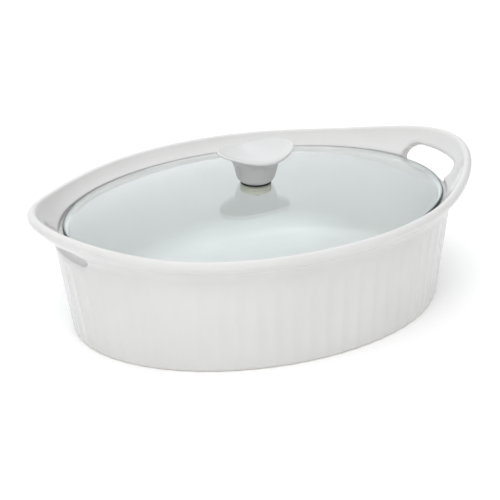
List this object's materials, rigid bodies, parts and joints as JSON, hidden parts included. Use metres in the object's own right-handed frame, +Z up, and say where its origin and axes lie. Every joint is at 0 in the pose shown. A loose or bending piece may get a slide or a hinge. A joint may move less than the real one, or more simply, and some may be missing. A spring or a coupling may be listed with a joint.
{
  "type": "covered casserole dish",
  "caption": "Oval white stoneware casserole with fluted sides, slotted upswept handles and a domed glass lid with a winged screw-on knob.",
  "frame": {"origin": "centre of the dish's footprint, on the plane its foot ring stands on", "axes": "+X along the dish's long axis through both handles, +Y across it, +Z up through the lid's knob"},
  "size_m": [0.3506, 0.2452, 0.1232],
  "materials": {
    "glaze": "gloss",
    "lid_glass": "gloss",
    "knob_white": "gloss",
    "silicone": "matte",
    "black_gasket": "matte",
    "steel": "satin",
    "brass": "satin"
  },
  "bodies": {
    "dish": {"dish": "glaze"},
    "lid": {"glass_lid": "lid_glass", "lower_washer": "silicone", "cup_washer": "steel", "knob_screw": "steel"},
    "washer": {"upper_washer": "black_gasket"},
    "knob": {"knob": "knob_white", "knob_insert": "brass"}
  },
  "joints": [
    {"name": "lid_lift", "type": "slide", "parent": "dish", "child": "lid", "axis": [0, 0, 1], "range_m": [0, 0.14]},
    {"name": "knob_rise", "type": "slide", "parent": "lid", "child": "washer", "axis": [0, 0, 1], "range_m": [0, 0.01]},
    {"name": "knob_turn", "type": "hinge", "parent": "washer", "child": "knob", "pos_m": [0, 0, 0.0977], "axis": [0, 0, 1], "range_deg": [0, 4500]}
  ],
  "couplings": [
    {"joint": "knob_rise", "follows": "knob_turn", "m_per_rad": 0.00012732}
  ]
}
